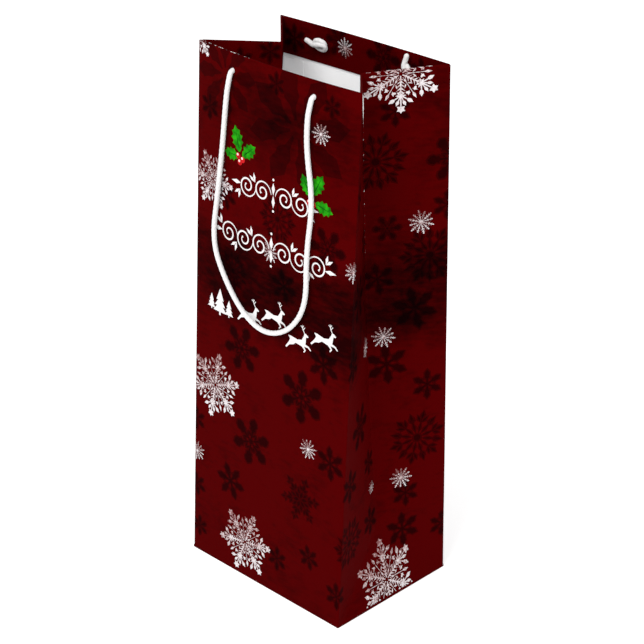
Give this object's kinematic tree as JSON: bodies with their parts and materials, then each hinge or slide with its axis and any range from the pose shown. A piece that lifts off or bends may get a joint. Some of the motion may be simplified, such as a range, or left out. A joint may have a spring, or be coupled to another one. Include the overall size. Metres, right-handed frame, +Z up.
{
  "type": "wine gift bag",
  "caption": "Tall printed paper gift bag for a wine bottle, with tucked gussets, a turned-in rim and two knotted rope handles that swing.",
  "frame": {"origin": "middle of the base, on the surface the bag stands on", "axes": "+Z up; -Y out of the printed front panel; +X towards the right gusset as seen from the front"},
  "size_m": [0.127, 0.095, 0.33],
  "materials": {
    "printed_paper": "satin laminated print, white inside",
    "hem_card": "uncoated",
    "base_board": "uncoated grey-white board",
    "handle_rope": "twisted off-white rope"
  },
  "bodies": {
    "bag": {"front_panel": "printed_paper", "back_panel": "printed_paper", "left_gusset_front": "printed_paper", "left_gusset_rear": "printed_paper", "right_gusset_front": "printed_paper", "right_gusset_rear": "printed_paper", "left_gusset_foot": "printed_paper", "right_gusset_foot": "printed_paper", "seam_flap": "printed_paper", "front_hem": "printed_paper", "back_hem": "printed_paper", "left_hem_front": "printed_paper", "left_hem_rear": "printed_paper", "right_hem_front": "printed_paper", "right_hem_rear": "printed_paper", "front_base_flap": "printed_paper", "back_base_flap": "printed_paper", "left_base_flap": "printed_paper", "right_base_flap": "printed_paper", "front_hem_card": "hem_card", "back_hem_card": "hem_card", "front_left_knot": "handle_rope", "front_right_knot": "handle_rope", "back_left_knot": "handle_rope", "back_right_knot": "handle_rope"},
    "front_handle": {"front_handle_cord": "handle_rope"},
    "back_handle": {"back_handle_cord": "handle_rope"},
    "base_board": {"base_board": "base_board"}
  },
  "joints": [
    {"name": "front_handle_swing", "type": "hinge", "parent": "bag", "child": "front_handle", "pos_m": [0, -0.04, 0.32], "axis": [-1, 0, 0], "range_deg": [0, 180]},
    {"name": "back_handle_swing", "type": "hinge", "parent": "bag", "child": "back_handle", "pos_m": [0, 0.04, 0.32], "axis": [1, 0, 0], "range_deg": [0, 180]},
    {"name": "base_board_lift", "type": "slide", "parent": "bag", "child": "base_board", "axis": [0, 0, 1], "range_m": [0, 0.007]}
  ]
}
